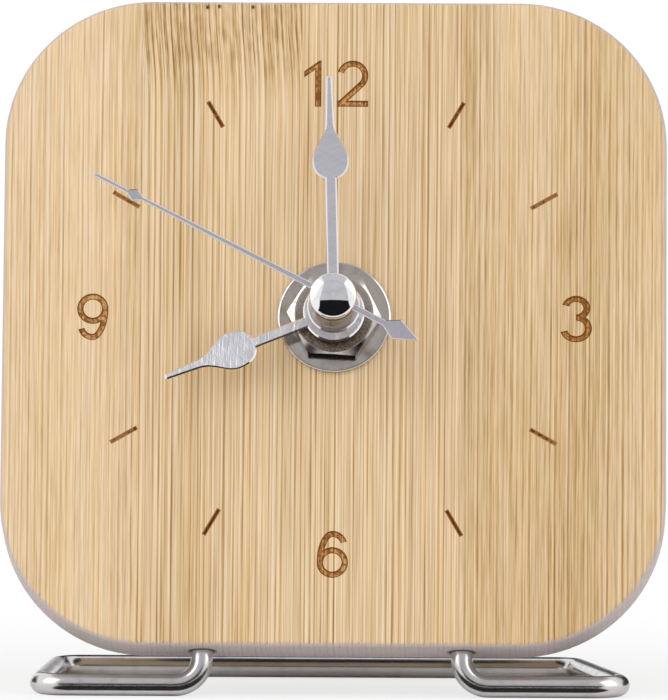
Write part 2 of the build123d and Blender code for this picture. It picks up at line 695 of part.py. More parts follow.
def make_minute_pipe():
    """The cannon pinion and the minute hand's pipe, riveted over behind the center wheel."""
    lip_layer = behind(center_wheel_layer.back, PIPE_LIP)
    whole = Layer(lip_layer.back, minute_pipe_end)
    pipe = disc(MINUTE_PIPE_DIAMETER, whole)
    cannon = gear(CANNON_TEETH, MOTION_MODULE, motion_wheel_layer, hub, cannon_phase)
    lip = disc(MINUTE_PIPE_DIAMETER + 2 * PIPE_LIP, lip_layer)
    return pipe + cannon + lip - disc(SECOND_ARBOR_DIAMETER + 2 * RUN_PLAY, whole)


def make_clutch_washer():
    return ring(CLUTCH_DIAMETER, MINUTE_PIPE_DIAMETER + 2 * SEAT_PLAY, clutch_layer)


def make_center_wheel():
    wheel = gear(CENTER_WHEEL_TEETH, center_module, center_wheel_layer, hub, center_phase)
    return wheel - disc(MINUTE_PIPE_DIAMETER + 2 * SEAT_PLAY, center_wheel_layer)


def make_third_wheel():
    wheel = gear(THIRD_WHEEL_TEETH, TRAIN_MODULE, third_wheel_layer, third_axis, third_phase)
    pinion_layer = Layer(third_wheel_layer.front, center_wheel_layer.front + PINION_OVERHANG)
    pinion = gear(THIRD_PINION_TEETH, center_module, pinion_layer, third_axis, third_pinion_phase)
    arbor = disc(ARBOR_DIAMETER, Layer(middle_plate_layer.back, chamber_front + PIVOT_DEPTH), third_axis)
    return wheel + pinion + arbor


def make_second_wheel():
    """The seconds wheel behind the middle plate and its pinion in front, on one sleeve."""
    wheel = gear(SECOND_WHEEL_TEETH, DRIVE_MODULE, second_wheel_layer, hub, second_phase)
    pinion_layer = widened(third_wheel_layer)
    pinion = gear(SECOND_PINION_TEETH, TRAIN_MODULE, pinion_layer, hub, second_pinion_phase)
    sleeve = disc(second_sleeve_diameter, Layer(second_wheel_layer.back, pinion_layer.front))
    bore = disc(SECOND_ARBOR_DIAMETER + 2 * SEAT_PLAY, Layer(second_wheel_layer.back, pinion_layer.front))
    return wheel + pinion + sleeve - bore


def make_second_arbor():
    return disc(SECOND_ARBOR_DIAMETER, Layer(boss_front - PIVOT_DEPTH, second_arbor_end))


def make_fifth_wheel():
    wheel = gear(FIFTH_WHEEL_TEETH, ROTOR_MODULE, fifth_wheel_layer, fifth_axis, fifth_phase)
    pinion_layer = Layer(fifth_wheel_layer.front, second_wheel_layer.front + PINION_OVERHANG)
    pinion = gear(FIFTH_PINION_TEETH, DRIVE_MODULE, pinion_layer, fifth_axis, fifth_pinion_phase)
    arbor = disc(ARBOR_DIAMETER, Layer(boss_front - PIVOT_DEPTH, middle_plate_layer.front), fifth_axis)
    return wheel + pinion + arbor


def make_rotor_pinion():
    pinion_layer = Layer(magnet_layer.front, fifth_wheel_layer.front + PINION_OVERHANG)
    pinion = gear(ROTOR_PINION_TEETH, ROTOR_MODULE, pinion_layer, rotor_axis, rotor_phase)
    arbor = disc(ARBOR_DIAMETER, Layer(boss_front - PIVOT_DEPTH, middle_plate_layer.front), rotor_axis)
    return pinion + arbor


def make_rotor_magnet():
    return ring(MAGNET_DIAMETER, ARBOR_DIAMETER + 2 * SEAT_PLAY, magnet_layer, rotor_axis)


def make_setting_stem():
    pinion_layer = widened(motion_wheel_layer)
    pinion = gear(SETTING_PINION_TEETH, MOTION_MODULE, pinion_layer, setting_axis, setting_phase)
    shaft_layer = Layer(knob_layer.back + PIVOT_DEPTH, motion_wheel_layer.front)
    shaft = disc(SETTING_STEM_DIAMETER, shaft_layer, setting_axis)
    pivot = disc(ARBOR_DIAMETER, Layer(motion_wheel_layer.front, chamber_front + PIVOT_DEPTH), setting_axis)
    return pinion + shaft + pivot


def make_setting_knob():
    outline = Circle(KNOB_DIAMETER / 2)
    flutes = PolarLocations(KNOB_DIAMETER / 2, KNOB_FLUTES)
    outline -= [place * Circle(KNOB_FLUTE_DIAMETER / 2) for place in flutes]
    knob = Pos(*setting_axis) * slab(outline, knob_layer)
    socket = Layer(knob_layer.back + PIVOT_DEPTH, knob_layer.front)
    return knob - disc(SETTING_STEM_DIAMETER + 2 * SEAT_PLAY, socket, setting_axis)


# Motor

def make_stator():
    """The pole piece round the rotor, with two arms up to the coil's core."""
    x, y = rotor_axis
    outline = Pos(x, y) * Circle(STATOR_POLE_DIAMETER / 2)
    outline += rectangle(stator_left, stator_right, y - STATOR_ARM_WIDTH / 2, y + STATOR_ARM_WIDTH / 2)
    for peg_x, peg_y in core_pegs:
        half = STATOR_ARM_WIDTH / 2
        outline += rectangle(peg_x - half, peg_x + half, y, peg_y + half)
    outline -= Pos(x, y) * Circle(MAGNET_DIAMETER / 2 + STATOR_AIR_GAP)
    return slab(outline - peg_holes(core_pegs), stator_layer)


def peg_holes(pegs):
    return [Pos(*place) * Circle(PEG_DIAMETER / 2 + RUN_PLAY) for place in pegs]


def make_coil_core():
    half = CORE_WIDTH / 2
    outline = rectangle(stator_left, stator_right, coil_height - half, coil_height + half)
    return slab(outline - peg_holes(core_pegs), core_layer)


def along_coil(diameter, left, right):
    """A round bar along the coil's axis, between two places in X."""
    bar = Rot(0, 90, 0) * Cylinder(diameter / 2, right - left)
    return Pos((left + right) / 2, coil_height, core_middle) * bar


def make_coil_bobbin():
    bobbin = along_coil(BOBBIN_BARREL, coil_left, coil_right)
    bobbin += along_coil(BOBBIN_DIAMETER, coil_left, coil_left + BOBBIN_FLANGE)
    bobbin += along_coil(BOBBIN_DIAMETER, coil_right - BOBBIN_FLANGE, coil_right)
    half = CORE_WIDTH / 2 + SEAT_PLAY
    slot = rectangle(coil_left, coil_right, coil_height - half, coil_height + half)
    return bobbin - slab(slot, Layer(core_layer.back - SEAT_PLAY, core_layer.front + SEAT_PLAY))


def make_coil_winding():
    left = coil_left + BOBBIN_FLANGE
    right = coil_right - BOBBIN_FLANGE
    bore = along_coil(BOBBIN_BARREL + 2 * SEAT_PLAY, left, right)
    return along_coil(WINDING_DIAMETER, left, right) - bore


# Electronics and contacts

def make_circuit_board():
    outline = rectangle(circuit_left, circuit_right, circuit_bottom, circuit_top)
    return slab(outline - peg_holes(circuit_pegs), circuit_layer)


def make_driver_chip():
    """The black potting blob over the bare chip."""
    x = (circuit_left + circuit_right) / 2
    blob = disc(CHIP_DIAMETER, behind(circuit_layer.back, CHIP_HEIGHT), (x, circuit_middle))
    return fillet(blob.edges().group_by(Axis.Z)[0], CHIP_HEIGHT / 2)


def make_quartz_crystal():
    x = circuit_right - CRYSTAL_DIAMETER
    can = Rot(90, 0, 0) * Cylinder(CRYSTAL_DIAMETER / 2, CRYSTAL_LENGTH)
    y = circuit_bottom + CRYSTAL_LENGTH / 2
    return Pos(x, y, circuit_layer.back - CRYSTAL_DIAMETER / 2 - SEAT_PLAY) * can


def contact_strip(points):
    """A flat spring strip, bent on edge along a line of points."""
    path = FilletPolyline(*points, radius=STRIP_BEND)
    return slab(trace(path, STRIP_THICKNESS), strip_layer)


def contact_leaf(wall, side, touch):
    """Points of a strip down the end wall of the cell's bay, bowed out to the cell's end."""
    bow = touch + side * (STRIP_THICKNESS / 2 + CLEARANCE)
    spread = CELL_NUB_DIAMETER
    return [(wall, cell_height + spread), (bow, cell_height), (wall, cell_height - spread)]


def make_negative_contact():
    wall = chamber_left + wall_strip
    return contact_strip(
        [(circuit_left, circuit_middle), (wall, circuit_middle)] + contact_leaf(wall, -1, cell_base)
    )


def make_positive_contact():
    wall = chamber_right - wall_strip
    top = chamber_top - wall_strip
    drop = (circuit_left + circuit_right) / 2
    return contact_strip(
        [(drop, circuit_top), (drop, top), (wall, top)] + contact_leaf(wall, 1, cell_tip)
    )


# Case

def boss(layer, at):
    """A short tube on a wall, with a pivot hole for an arbor."""
    return disc(ARBOR_DIAMETER + 2 * (RUN_PLAY + BOSS_WALL), layer, at)


def pivot_hole(layer, at, diameter=ARBOR_DIAMETER):
    return disc(diameter + 2 * RUN_PLAY, layer, at)


def case_outline(bottom):
    whole = Pos(0, (case_top + case_bottom) / 2) * RectangleRounded(
        case_right - case_left, case_top - case_bottom, CASE_CORNER
    )
    return whole & rectangle(case_left, case_right, bottom, case_top)


def make_movement_case():
    """The front shell: a room for the movement above and an open bay for the cell below."""
    case = slab(case_outline(case_bottom), Layer(case_back, case_front))
    chamber = rectangle(chamber_left, chamber_right, chamber_bottom, chamber_top)
    bay = rectangle(chamber_left, chamber_right, bay_bottom, bay_top)
    case -= slab(chamber, Layer(case_back, chamber_front))
    case -= slab(bay, Layer(case_back, chamber_front))
    case -= slab(case_outline(bay_top), cover_layer)
    case -= disc(BUSHING_TAIL_DIAMETER + 2 * SEAT_PLAY, Layer(chamber_front, case_front))
    third_boss = Layer(center_wheel_layer.front + END_FLOAT, chamber_front)
    setting_boss = Layer(motion_wheel_layer.front + END_FLOAT, chamber_front)
    case += boss(third_boss, third_axis) + boss(setting_boss, setting_axis)
    case += disc(ARBOR_DIAMETER, Layer(motion_wheel_layer.back, chamber_front), motion_axis)
    for corner in post_corners:
        case += disc(POST_DIAMETER, Layer(middle_plate_layer.front, chamber_front), corner)
    case -= pivot_hole(Layer(third_boss.back, chamber_front + PIVOT_DEPTH + SEAT_PLAY), third_axis)
    case -= pivot_hole(Layer(setting_boss.back, chamber_front + PIVOT_DEPTH + SEAT_PLAY), setting_axis)
    slot_room = Layer(case_back, strip_layer.front + CLEARANCE)
    slot_width = STRIP_THICKNESS + CLEARANCE
    for slot_left in (chamber_left, chamber_right - slot_width):
        slot = rectangle(slot_left, slot_left + slot_width, bay_top, chamber_bottom)
        case -= slab(slot, slot_room)
    return case


def make_middle_plate():
    """The plate between the motion work in front and the motor behind, with pegs for the motor."""
    outline = rectangle(
        chamber_left + CLEARANCE,
        chamber_right - CLEARANCE,
        chamber_bottom + CLEARANCE,
        chamber_top - CLEARANCE,
    )
    plate = slab(outline, middle_plate_layer)
    for peg in core_pegs:
        plate += disc(PEG_SHOULDER, Layer(core_layer.front, middle_plate_layer.back), peg)
        plate += disc(PEG_DIAMETER, Layer(stator_layer.back - PIPE_LIP, core_layer.front), peg)
    for peg in circuit_pegs:
        plate += disc(PEG_SHOULDER, Layer(circuit_layer.front, middle_plate_layer.back), peg)
        plate += disc(PEG_DIAMETER, Layer(circuit_layer.back - PIPE_LIP, circuit_layer.front), peg)
    for axis in (third_axis, fifth_axis, rotor_axis):
        plate -= pivot_hole(middle_plate_layer, axis)
    plate -= disc(2 * tip_radius(SECOND_PINION_TEETH, TRAIN_MODULE) + CLEARANCE, middle_plate_layer)
    return plate - disc(SETTING_STEM_DIAMETER + 2 * CLEARANCE, middle_plate_layer, setting_axis)


def make_back_cover():
    """The lid over the movement, with the rear bearings and the posts that hold the middle plate."""
    cover = slab(case_outline(bay_top), cover_layer)
    lip_layer = before(cover_layer.front, COVER_LIP)
    for side in (-1, 1):
        edge = side * (chamber_right - STRIP_THICKNESS - 2 * CLEARANCE - CASE_WALL / 2)
        lip = rectangle(edge - CASE_WALL / 2, edge + CASE_WALL / 2, -POST_DIAMETER, POST_DIAMETER)
        cover += slab(lip, lip_layer)
    for corner in post_corners:
        cover += disc(POST_DIAMETER, Layer(cover_layer.front, middle_plate_layer.back), corner)
    bearings = ((hub, SECOND_ARBOR_DIAMETER), (fifth_axis, ARBOR_DIAMETER), (rotor_axis, ARBOR_DIAMETER))
    for axis, diameter in bearings:
        cover += disc(diameter + 2 * (RUN_PLAY + BOSS_WALL), Layer(cover_layer.front, boss_front), axis)
    for axis, diameter in bearings:
        cover -= pivot_hole(Layer(boss_front - PIVOT_DEPTH - SEAT_PLAY, boss_front), axis, diameter)
    return cover - disc(SETTING_STEM_DIAMETER + 2 * RUN_PLAY, cover_layer, setting_axis)


# Cell

def along_cell(diameter, left, right):
    """A round bar along the cell's axis, between two places in X."""
    bar = Rot(0, 90, 0) * Cylinder(diameter / 2, right - left)
    return Pos((left + right) / 2, cell_height, cell_axis_height) * bar


def make_cell_can():
    shoulder = cell_tip - CELL_NUB_HEIGHT
    can = along_cell(cell_can_diameter, cell_base, shoulder)
    return can + along_cell(CELL_NUB_DIAMETER, shoulder, cell_tip)


def make_cell_sleeve():
    left = cell_base + CELL_SLEEVE
    right = cell_tip - CELL_NUB_HEIGHT - CELL_SLEEVE
    return along_cell(CELL_DIAMETER, left, right) - along_cell(cell_can_diameter, left, right)


NODES = {
    "dial_board": make_dial_board,
    "wire_stand": make_wire_stand,
    "rubber_gasket": make_rubber_gasket,
    "threaded_bushing": make_threaded_bushing,
    "front_washer": make_front_washer,
    "hex_nut": make_hex_nut,
    "hour_hand": make_hour_hand,
    "minute_hand": make_minute_hand,
    "minute_hand_nut": make_minute_hand_nut,
    "second_hand": make_second_hand,
    "second_hand_tube": make_second_hand_tube,
    "center_cap": make_center_cap,
    "hour_wheel": make_hour_wheel,
    "motion_wheel": make_motion_wheel,
    "minute_pipe": make_minute_pipe,
    "clutch_washer": make_clutch_washer,
    "center_wheel": make_center_wheel,
    "third_wheel": make_third_wheel,
    "second_wheel": make_second_wheel,
    "second_arbor": make_second_arbor,
    "fifth_wheel": make_fifth_wheel,
    "rotor_pinion": make_rotor_pinion,
    "rotor_magnet": make_rotor_magnet,
    "setting_stem": make_setting_stem,
    "setting_knob": make_setting_knob,
    "stator": make_stator,
    "coil_core": make_coil_core,
    "coil_bobbin": make_coil_bobbin,
    "coil_winding": make_coil_winding,
    "circuit_board": make_circuit_board,
    "driver_chip": make_driver_chip,
    "quartz_crystal": make_quartz_crystal,
    "negative_contact": make_negative_contact,
    "positive_contact": make_positive_contact,
    "movement_case": make_movement_case,
    "middle_plate": make_middle_plate,
    "back_cover": make_back_cover,
    "cell_can": make_cell_can,
    "cell_sleeve": make_cell_sleeve,
}

# Lean the clock back, then set the middle of its footprint on the origin and its foot at Z = 0

leaned = {name: Rot(90 - LEAN, 0, 0) * make() for name, make in NODES.items()}
boxes = [piece.bounding_box() for piece in leaned.values()]
rear = max(box.max.Y for box in boxes)
front = min(box.min.Y for box in boxes)
floor = min(box.min.Z for box in boxes)
stand_on_table = Pos(0, -(front + rear) / 2, -floor)

os.makedirs("parts", exist_ok=True)
for name, piece in leaned.items():
    export_step(stand_on_table * piece, f"parts/{name}.step")
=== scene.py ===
# %% [markdown]
# # A bamboo desk clock on a wire stand
#
# The clock is a rounded square of bamboo that leans back on one bent steel wire. A quartz
# movement sits behind it and turns three metal hands in front. Its pieces come ready made
# from the CAD pack, so this lesson is about finishes, light and the camera. Blender works
# in metres here, and the grain and the engraving are reckoned in millimetres.

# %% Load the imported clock
import json
import math

import bpy
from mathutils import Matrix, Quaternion, Vector


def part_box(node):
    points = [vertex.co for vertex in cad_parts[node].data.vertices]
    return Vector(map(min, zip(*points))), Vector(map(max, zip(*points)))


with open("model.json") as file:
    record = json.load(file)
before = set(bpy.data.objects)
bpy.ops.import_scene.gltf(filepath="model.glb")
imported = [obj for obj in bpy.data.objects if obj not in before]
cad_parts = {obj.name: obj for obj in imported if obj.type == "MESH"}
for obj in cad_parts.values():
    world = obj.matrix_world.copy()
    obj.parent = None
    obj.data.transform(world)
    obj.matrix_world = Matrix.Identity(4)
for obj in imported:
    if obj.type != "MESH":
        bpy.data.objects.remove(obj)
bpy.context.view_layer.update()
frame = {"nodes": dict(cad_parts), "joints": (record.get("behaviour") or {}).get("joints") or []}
nodes = frame["nodes"]

# %% [markdown]
# ## Where the dial is
#
# All finishes of the dial side are laid out from the spindle, which the hands turn about.
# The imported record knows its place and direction, so nothing has to be measured again.
# The spindle's axis runs into the board, and the face looks the other way.

# %% Find the spindle and the board's directions
spindle = next(joint for joint in frame["joints"] if joint["name"] == "second_hand_turn")
hub = Vector(spindle["pos_m"])
face_out = -Vector(spindle["axis"]).normalized()
across = Vector((1, 0, 0))
up_board = face_out.cross(across)
board_tilt = math.atan2(up_board.z, up_board.y)
MILLIMETRES = 1000
print("hub", [round(MILLIMETRES * c, 2) for c in hub], "tilt", round(math.degrees(board_tilt), 2))

# %% [markdown]
# ## The camera
#
# The picture is taken from far away with a long lens, so that parallel edges stay parallel.
# A lens of that length could also be stood in for by an orthographic camera, but then the
# slight growth of the near parts would be lost. The hub's place in the picture and the
# number of pixels to a metre fix the aim and the focal length.

# %% Set up the camera
PICTURE_WIDTH = 668
PICTURE_HEIGHT = 700
SENSOR = 36
CAMERA_DISTANCE = 1.8
CAMERA_ELEVATION = math.radians(3.4)
CAMERA_AZIMUTH = math.radians(0.9)
CAMERA_ROLL = math.radians(0.22)
PIXELS_PER_METRE = 6640
HUB_PIXEL = (334.3, 317.9)

level = math.cos(CAMERA_ELEVATION)
to_camera = Vector((
    math.sin(CAMERA_AZIMUTH) * level,
    -math.cos(CAMERA_AZIMUTH) * level,
    math.sin(CAMERA_ELEVATION),
))
camera_turn = (-to_camera).to_track_quat("-Z", "Y") @ Quaternion((0, 0, 1), CAMERA_ROLL)
picture_right = camera_turn @ Vector((1, 0, 0))
picture_up = camera_turn @ Vector((0, 1, 0))
hub_right = (HUB_PIXEL[0] - PICTURE_WIDTH / 2) / PIXELS_PER_METRE
hub_up = (PICTURE_HEIGHT / 2 - HUB_PIXEL[1]) / PIXELS_PER_METRE
aim = hub - picture_right * hub_right - picture_up * hub_up

camera = bpy.data.objects.new("camera", bpy.data.cameras.new("camera"))
camera.rotation_mode = "QUATERNION"
camera.rotation_quaternion = camera_turn
camera.location = aim + to_camera * CAMERA_DISTANCE
camera.data.sensor_width = SENSOR
camera.data.lens = SENSOR * PIXELS_PER_METRE * CAMERA_DISTANCE / PICTURE_HEIGHT
camera.data.clip_end = 20
bpy.context.scene.collection.objects.link(camera)
bpy.context.scene.camera = camera
print("lens in mm", round(camera.data.lens, 1))

# %% [markdown]
# ## Shader sums in plain Python
#
# A material is a net of small nodes. Wiring them by hand is slow to read, so a strand stands
# for one socket, and sums of strands add the Math nodes by themselves. Every other node comes
# from one method, which takes the node's type, its settings and what its sockets get.

# %% A strand: one socket that takes part in sums
class Strand:
    """The value of one socket."""

    def __init__(self, finish, socket):
        self.finish = finish
        self.socket = socket

    def __add__(self, other):
        return self.finish.sum("ADD", self, other)

    def __radd__(self, other):
        return self.finish.sum("ADD", other, self)

    def __sub__(self, other):
        return self.finish.sum("SUBTRACT", self, other)

    def __rsub__(self, other):
        return self.finish.sum("SUBTRACT", other, self)

    def __mul__(self, other):
        return self.finish.sum("MULTIPLY", self, other)

    def __rmul__(self, other):
        return self.finish.sum("MULTIPLY", other, self)

    def __truediv__(self, other):
        return self.finish.sum("DIVIDE", self, other)

    def __rtruediv__(self, other):
        return self.finish.sum("DIVIDE", other, self)

    def __abs__(self):
        return self.finish.sum("ABSOLUTE", self)

    def floor(self):
        return self.finish.sum("FLOOR", self)

    def larger(self, other):
        return self.finish.sum("MAXIMUM", self, other)

    def wave(self):
        return self.finish.sum("SINE", self)

    def eased(self, low, high):
        """A smooth step from 0 at low to 1 at high."""
        sockets = {"Value": self, "From Min": low, "From Max": high}
        return self.finish.node("MapRange", {"interpolation_type": "SMOOTHSTEP"}, sockets)

    def output(self, name):
        """Another output of the same node."""
        return Strand(self.finish, self.socket.node.outputs[name])


# %% A finish: one material while it is made
def set_stops(elements, stops):
    """Gives a colour ramp its stops, each a place and a colour."""
    while len(elements) < len(stops):
        elements.new(1.0)
    for element, (place, colour) in zip(elements, stops):
        element.position = place
        element.color = (*colour, 1.0)


def opaque(colour):
    return (*colour, 1.0)


class Finish:
    """A node tree with short ways to add the nodes that the finishes need."""

    def __init__(self, tree):
        self.tree = tree
        self.tree.nodes.clear()

    def node(self, kind, settings, sockets, output=0):
        """Adds a node, sets it up, then fills its sockets with numbers, colours or strands."""
        made = self.tree.nodes.new("ShaderNode" + kind)
        for name, value in settings.items():
            if name == "stops":
                set_stops(made.color_ramp.elements, value)
            else:
                setattr(made, name, value)
        for name, value in sockets.items():
            if isinstance(value, Strand):
                self.tree.links.new(value.socket, made.inputs[name])
            else:
                made.inputs[name].default_value = value
        return Strand(self, made.outputs[output]) if made.outputs else made

    def sum(self, operation, *values):
        return self.node("Math", {"operation": operation}, dict(enumerate(values)))

    def vector(self, operation, *values):
        output = "Value" if operation in ("DOT_PRODUCT", "LENGTH") else "Vector"
        return self.node("VectorMath", {"operation": operation}, dict(enumerate(values)), output)

    def combined(self, x, y, z):
        return self.node("CombineXYZ", {}, {0: x, 1: y, 2: z})

    def split(self, vector):
        first = self.node("SeparateXYZ", {}, {0: vector})
        return first, first.output(1), first.output(2)

    def length(self, x, y):
        return self.vector("LENGTH", self.combined(x, y, 0.0))

    def noise(self, vector, scale, detail=2.0, roughness=0.5):
        sockets = {"Vector": vector, "Scale": scale, "Detail": detail, "Roughness": roughness}
        return self.node("TexNoise", {}, sockets)

    def mixed(self, share, first, second):
        """The first colour where the share is 0, and the second where it is 1."""
        return self.node("Mix", {"data_type": "RGBA"}, {0: share, 6: first, 7: second}, 2)

    def ramp(self, value, stops):
        return self.node("ValToRGB", {"stops": stops}, {0: value})

    def bump(self, height, strength, depth):
        sockets = {"Height": height, "Strength": strength, "Distance": depth / MILLIMETRES}
        return self.node("Bump", {}, sockets, "Normal")

    def shown(self, shader, kind="Material"):
        """Leads a shader to the tree's output."""
        self.node("Output" + kind, {}, {"Surface": shader})


def start_finish(name):
    material = bpy.data.materials.new(name)
    material.use_nodes = True
    return material, Finish(material.node_tree)


def dress(material, *names):
    """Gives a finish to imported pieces, whose shapes stay as they are."""
    for name in names:
        mesh = nodes[name].data
        mesh.materials.clear()
        mesh.materials.append(material)
    print(material.name, "on", ", ".join(names))


# %% [markdown]
# ## Places on the dial
#
# Grain and engraving follow the board and not the room. A point's place is taken from the
# hub, turned upright by the board's tilt and scaled to millimetres. The object's own
# coordinates are used, so a finish stays on its piece when the piece moves.

# %% Millimetres across the board, up it and out of its face
def dial_place(finish):
    place = finish.node("TexCoord", {}, {}, "Object")
    from_hub = finish.vector("SUBTRACT", place, hub)
    sockets = {"Vector": from_hub, "Angle": -board_tilt}
    flat = finish.node("VectorRotate", {"rotation_type": "X_AXIS"}, sockets)
    return finish.split(finish.vector("MULTIPLY", flat, (MILLIMETRES,) * 3))


def facing(finish, direction):
    """How squarely the surface looks in a direction: 1 straight at it, 0 edge on."""
    normal = finish.node("NewGeometry", {}, {}, "Normal")
    return finish.vector("DOT_PRODUCT", normal, direction)


# %% [markdown]
# ## Bamboo
#
# The board is glued up from wide bamboo strips. Fibre bundles run up the board, so the face
# shows fine upright lines and the ends show dots. A picture of wood would smear over the
# edges. A noise that is stretched along the fibres is solid all through the board, so the
# face, the rounded rims and the end grain agree.

# %% The fibres and their strips
STRIP_WIDTH = 24.2
STRIP_EDGE = -29.4
# Pitch in millimetres and darkness of each set of fibre bundles.
BUNDLES = [(0.98, 0.22), (0.72, 0.19), (0.49, 0.14)]
PITCH_SEED = 50
STRENGTH_SEED = 40
LINE_WANDER = 4.5
LINE_MEAN = 0.36
SWAY = 0.9
FIBRE_MEAN = 0.492
BROAD_SHARE = 0.6
FIBRE_STOPS = [
    (0.05, (0.32, 0.170, 0.050)),
    (0.24, (0.480, 0.310, 0.135)),
    (0.35, (0.580, 0.400, 0.205)),
    (0.44, (0.660, 0.474, 0.272)),
    (0.52, (0.712, 0.524, 0.318)),
    (0.63, (0.775, 0.588, 0.380)),
    (0.80, (0.870, 0.680, 0.470)),
]
WARMER = (1.02, 0.98, 0.89)
WARM_STOPS = [
    (place, tuple(part * warmer for part, warmer in zip(colour, WARMER)))
    for place, colour in FIBRE_STOPS
]


def stretched(finish, side, height, layer, stretch, scale, detail=1.0, roughness=0.5):
    """A noise whose spots are drawn out up the board."""
    return finish.noise(finish.combined(side, height * stretch, layer), scale, detail, roughness)


def bundle_lines(finish, side, height, layer, pitch):
    """Lines around one pitch, unevenly spaced and strong in turns, with a mean near zero."""
    seed = layer + pitch * PITCH_SEED
    drift = stretched(finish, side, height, seed, 0.008, 0.66 / pitch) - 0.5
    strength = stretched(finish, side, height, seed + STRENGTH_SEED, 0.022, 0.9 / pitch)
    turns = side * (2 * math.pi / pitch) + drift * LINE_WANDER
    return (turns.wave().eased(0.0, 1.0) - LINE_MEAN) * strength.eased(0.25, 0.75)


def fibre_tone(finish, side, height, layer, contrast):
    """The lightness of the fibres, around one half, and the fine part of it alone."""
    sway = stretched(finish, side * 0.03, height, layer * 0.05, 0.012, 1.0)
    swayed = side + (sway - 0.5) * SWAY
    fine = stretched(finish, swayed, height, layer, 0.009, 4.4)
    hair = stretched(finish, swayed, height, layer, 0.012, 9.0)
    broad = stretched(finish, swayed, height, layer, 0.08, 0.07, detail=0.0)
    flecks = stretched(finish, swayed, height, layer, 0.03, 4.5, detail=2.0, roughness=0.6)
    lines = (fine - 0.5) * 0.3 + (hair - 0.5) * 0.35 + (flecks - 0.5) * 0.5
    for pitch, depth in BUNDLES:
        lines = lines - bundle_lines(finish, swayed, height, layer, pitch) * depth
    tone = FIBRE_MEAN + lines * contrast + (broad - 0.5) * BROAD_SHARE
    return tone, fine * 0.5 + hair * 0.5


print("strips of", STRIP_WIDTH, "mm, bundles every", [pitch for pitch, depth in BUNDLES], "mm")

# %% [markdown]
# A bamboo stem has a knot every few hands, and one strip of this board shows its trace near
# the top edge: fibres that lean and turn strongly dark and pale, under a few dark dots. The
# strips also differ a little. The lines of the two middle strips are stronger and run
# longer, and the left of the board is paler than the right.

# %% The face with its knot
KNOT_LOW = 31.0
KNOT_FULL = 46.0
KNOT_LEAN = 0.045
KNOT_SHORTER = 0.5
KNOT_DARKER = 0.19
DOTS = [(-19.6, 48.25), (-17.8, 48.4), (-12.7, 48.3)]
DOT_CORE = 0.08
DOT_RIM = 0.42
DOT_BROWN = (0.060, 0.018, 0.002)
DOT_SHARE = 0.95
MIDDLE_LONGER = 0.6
RIGHT_DARKER = 0.0011
STRIP_SEED = 7.3
WARM_SEED = 5.1


def knot_share(height, strip):
    """1 in the knot, 0 away from it."""
    return (1 - abs(strip).eased(0.1, 0.4)) * height.eased(KNOT_LOW, KNOT_FULL)


def knot_dots(finish, side, height):
    dots = 0.0
    for across_dot, up_dot in DOTS:
        from_dot = finish.length(side - across_dot, (height - up_dot) * 0.8)
        dots = 1 - from_dot.eased(DOT_CORE, DOT_RIM) + dots
    return dots


def face_wood(finish, side, height, depth):
    """The wood's colour, then its lightness, and the fine fibres alone."""
    strip = ((side - STRIP_EDGE) / STRIP_WIDTH).floor()
    chance = finish.node("TexWhiteNoise", {"noise_dimensions": "1D"}, {"W": strip + 0.5})
    knot = knot_share(height, strip)
    above = knot * (height - KNOT_LOW)
    leaning = side + above * KNOT_LEAN
    middle = strip.eased(-0.8, -0.2) - strip.eased(1.2, 1.8)
    contrast = 1.12 + middle * 0.5 + knot * 0.15
    along = height * (1 - middle * MIDDLE_LONGER) + above * KNOT_SHORTER
    layer = depth * 0.6 + strip * STRIP_SEED
    tone, fine = fibre_tone(finish, leaning, along, layer, contrast)
    tone = tone + (chance - 0.5) * 0.05 - side * RIGHT_DARKER
    patches = stretched(finish, leaning * 1.3, height, 5.0, 0.35, 1.0) - 0.5
    tone = tone + knot * (patches * 0.5 - KNOT_DARKER)
    warm = stretched(finish, leaning, height, strip * WARM_SEED, 0.012, 0.9, detail=2.0)
    ramps = [finish.ramp(tone, stops) for stops in (FIBRE_STOPS, WARM_STOPS)]
    wood = finish.mixed(warm.eased(0.4, 0.65), *ramps)
    dots = knot_dots(finish, side, height) * DOT_SHARE
    return finish.mixed(dots, wood, opaque(DOT_BROWN)), tone, fine


print("knot from", KNOT_LOW, "mm above the hub, with", len(DOTS), "dots")

# %% [markdown]
# The laser leaves each mark with a dark scorched rim and a lighter floor, where the hard
# fibres stand out. The cut's own depth tells the two apart, so no outline has to be drawn
# again. The digits stand by the dial's upright and level lines, and the ticks between them.
# Steep ticks are burnt darker than those that lie nearly level.

# %% Burnt marks
MARK_NEAR = 28
MARK_FAR = 44
MARK_DEEPEST = 0.5
RIM_DEPTH = 0.04
FLOOR_DEPTH = 0.185
DIGIT_REACH = 10
BURNT_RIM = (0.22, 0.078, 0.010)
BURNT_FLOOR = [
    (0.28, (0.30, 0.108, 0.018)),
    (0.52, (0.575, 0.28, 0.088)),
    (0.75, (0.72, 0.41, 0.165)),
]
TICK_RIM = (0.36, 0.15, 0.03)
TICK_PALE = (0.46, 0.24, 0.085)
TICK_FLOOR = [(0.30, (0.075, 0.021, 0.002)), (0.70, (0.20, 0.068, 0.008))]
STEEP_DARKER = 0.08
LEVEL_PALER = 0.23


def burnt_share(finish, side, height, depth):
    """Where the marks are burnt in, and where their deeper floors are."""
    radius = finish.length(side, height)
    within = 1 - radius.eased(MARK_FAR, MARK_FAR + 1)
    ringed = radius.eased(MARK_NEAR, MARK_NEAR + 1) * within
    shallow = 1 - depth.eased(MARK_DEEPEST, MARK_DEEPEST + 0.1)
    cut = depth.eased(RIM_DEPTH / 2, RIM_DEPTH) * shallow * ringed
    return cut, depth.eased(FLOOR_DEPTH - 0.02, FLOOR_DEPTH)


